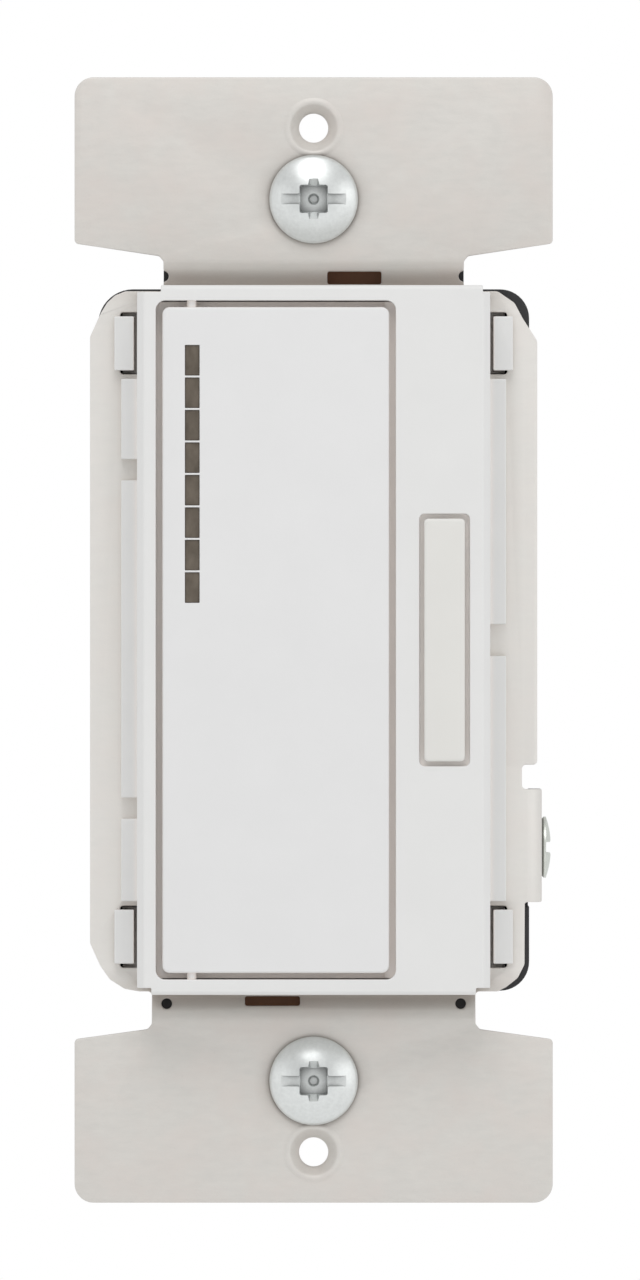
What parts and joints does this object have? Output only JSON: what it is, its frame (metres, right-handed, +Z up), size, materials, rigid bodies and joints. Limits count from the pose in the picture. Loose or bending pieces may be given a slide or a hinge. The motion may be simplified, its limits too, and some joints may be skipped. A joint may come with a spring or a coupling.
{
  "type": "decorator wall dimmer",
  "caption": "Single-gang decorator wall dimmer with a side-hinged on-off paddle, level indicator windows, a narrow raise and lower rocker and a metal mounting strap.",
  "frame": {"origin": "middle of the device between its two screws, on the wall side of the strap's plates", "axes": "+X right and +Z up on the wall, the face looks along -Y and the housing goes back along +Y"},
  "size_m": [0.0452, 0.0391, 0.1064],
  "materials": {
    "strap_metal": "matte, faint drawn grain",
    "face_plastic": "smooth satin",
    "paddle_plastic": "smooth satin",
    "rocker_plastic": "smooth satin",
    "smoked_lens": "smoked, clear",
    "board_laminate": "solder mask",
    "power_laminate": "phenolic laminate",
    "lamp_package": "clear epoxy",
    "black_epoxy": "moulded epoxy",
    "button_plastic": "moulded",
    "spacer_film": "film",
    "vulcanised_fibre": "pressed fibre",
    "pin_brass": "bright",
    "thermal_rubber": "matte",
    "tinned_metal": "tinned",
    "screw_steel": "zinc plated",
    "choke_ferrite": "painted ferrite",
    "enamelled_copper": "enamelled",
    "capacitor_case": "moulded case",
    "capacitor_sleeve": "shrink sleeve",
    "varistor_coating": "dipped coating",
    "fuse_ceramic": "ceramic",
    "housing_plastic": "fine moulded texture",
    "terminal_brass": "satin",
    "clamp_steel": "zinc plated",
    "ground_green": "green passivated",
    "retainer_fibre": "pressed fibre"
  },
  "bodies": {
    "chassis": {"mounting_strap": "strap_metal", "face_frame": "face_plastic", "control_board": "board_laminate", "indicator_leds": "lamp_package", "light_baffle": "face_plastic", "microcontroller": "black_epoxy", "paddle_switch_body": "black_epoxy", "raise_switch_body": "black_epoxy", "lower_switch_body": "black_epoxy", "board_spacer_sheet": "spacer_film", "strap_insulator": "vulcanised_fibre", "header_block": "black_epoxy", "header_pins": "pin_brass", "power_board": "power_laminate", "thermal_pad": "thermal_rubber", "triac_tab": "tinned_metal", "triac_body": "black_epoxy", "triac_leads": "tinned_metal", "triac_screw": "screw_steel", "choke_core": "choke_ferrite", "choke_winding": "enamelled_copper", "film_capacitor": "capacitor_case", "filter_capacitor": "capacitor_sleeve", "surge_varistor": "varistor_coating", "fuse_link": "fuse_ceramic", "rear_housing": "housing_plastic", "housing_screws": "screw_steel", "line_bracket": "terminal_brass", "load_bracket": "terminal_brass", "traveler_bracket": "terminal_brass", "screw_retainers": "retainer_fibre"},
    "paddle_assembly": {"paddle": "paddle_plastic", "indicator_lens": "smoked_lens"},
    "rocker_bar": {"rocker": "rocker_plastic"},
    "paddle_button": {"paddle_switch_button": "button_plastic"},
    "raise_button": {"raise_switch_button": "button_plastic"},
    "lower_button": {"lower_switch_button": "button_plastic"},
    "upper_screw": {"upper_box_screw": "screw_steel"},
    "lower_screw": {"lower_box_screw": "screw_steel"},
    "ground_terminal_screw": {"ground_screw": "ground_green"},
    "line_clamp_plate": {"line_clamp": "clamp_steel"},
    "line_terminal_screw": {"line_screw": "terminal_brass"},
    "load_clamp_plate": {"load_clamp": "clamp_steel"},
    "load_terminal_screw": {"load_screw": "terminal_brass"},
    "traveler_clamp_plate": {"traveler_clamp": "clamp_steel"},
    "traveler_terminal_screw": {"traveler_screw": "terminal_brass"}
  },
  "joints": [
    {"name": "paddle_press", "type": "hinge", "parent": "chassis", "child": "paddle_assembly", "pos_m": [-0.0115, -0.0068, 0], "axis": [0, 0, 1], "range_deg": [0, 2], "stiffness_Nm_per_rad": 0.6, "springref_deg": -0.57},
    {"name": "paddle_button_slide", "type": "slide", "parent": "chassis", "child": "paddle_button", "axis": [0, 1, 0], "range_m": [0, 0.00052]},
    {"name": "rocker_tilt", "type": "hinge", "parent": "chassis", "child": "rocker_bar", "pos_m": [0.01234, -0.005, 0], "axis": [1, 0, 0], "range_deg": [-2.5, 2.5], "stiffness_Nm_per_rad": 0.4},
    {"name": "raise_button_slide", "type": "slide", "parent": "chassis", "child": "raise_button", "axis": [0, 1, 0], "range_m": [-0.0004, 0.0004]},
    {"name": "lower_button_slide", "type": "slide", "parent": "chassis", "child": "lower_button", "axis": [0, 1, 0], "range_m": [-0.0004, 0.0004]},
    {"name": "upper_screw_turn", "type": "hinge", "parent": "chassis", "child": "upper_screw", "pos_m": [0, 0, 0.04167], "axis": [0, 1, 0], "continuous": true},
    {"name": "lower_screw_turn", "type": "hinge", "parent": "chassis", "child": "lower_screw", "pos_m": [0, 0, -0.04167], "axis": [0, 1, 0], "continuous": true},
    {"name": "ground_screw_turn", "type": "hinge", "parent": "chassis", "child": "ground_terminal_screw", "pos_m": [0.0216, 0.0063, -0.01965], "axis": [1, 0, 0], "continuous": true},
    {"name": "line_clamp_slide", "type": "slide", "parent": "chassis", "child": "line_clamp_plate", "axis": [1, 0, 0], "range_m": [0, 0.00159]},
    {"name": "line_screw_turn", "type": "hinge", "parent": "line_clamp_plate", "child": "line_terminal_screw", "pos_m": [-0.02, 0.017, 0.014], "axis": [1, 0, 0], "range_deg": [0, 720]},
    {"name": "load_clamp_slide", "type": "slide", "parent": "chassis", "child": "load_clamp_plate", "axis": [1, 0, 0], "range_m": [0, 0.00159]},
    {"name": "load_screw_turn", "type": "hinge", "parent": "load_clamp_plate", "child": "load_terminal_screw", "pos_m": [-0.02, 0.017, -0.008], "axis": [1, 0, 0], "range_deg": [0, 720]},
    {"name": "traveler_clamp_slide", "type": "slide", "parent": "chassis", "child": "traveler_clamp_plate", "axis": [-1, 0, 0], "range_m": [0, 0.00159]},
    {"name": "traveler_screw_turn", "type": "hinge", "parent": "traveler_clamp_plate", "child": "traveler_terminal_screw", "pos_m": [0.02, 0.017, 0.014], "axis": [-1, 0, 0], "range_deg": [0, 720]}
  ],
  "couplings": [
    {"joint": "paddle_button_slide", "follows": "paddle_press", "m_per_rad": 0.0145},
    {"joint": "raise_button_slide", "follows": "rocker_tilt", "m_per_rad": -0.008},
    {"joint": "lower_button_slide", "follows": "rocker_tilt", "m_per_rad": 0.008},
    {"joint": "line_screw_turn", "follows": "line_clamp_slide", "rad_per_m": 7915.8},
    {"joint": "load_screw_turn", "follows": "load_clamp_slide", "rad_per_m": 7915.8},
    {"joint": "traveler_screw_turn", "follows": "traveler_clamp_slide", "rad_per_m": 7915.8}
  ]
}
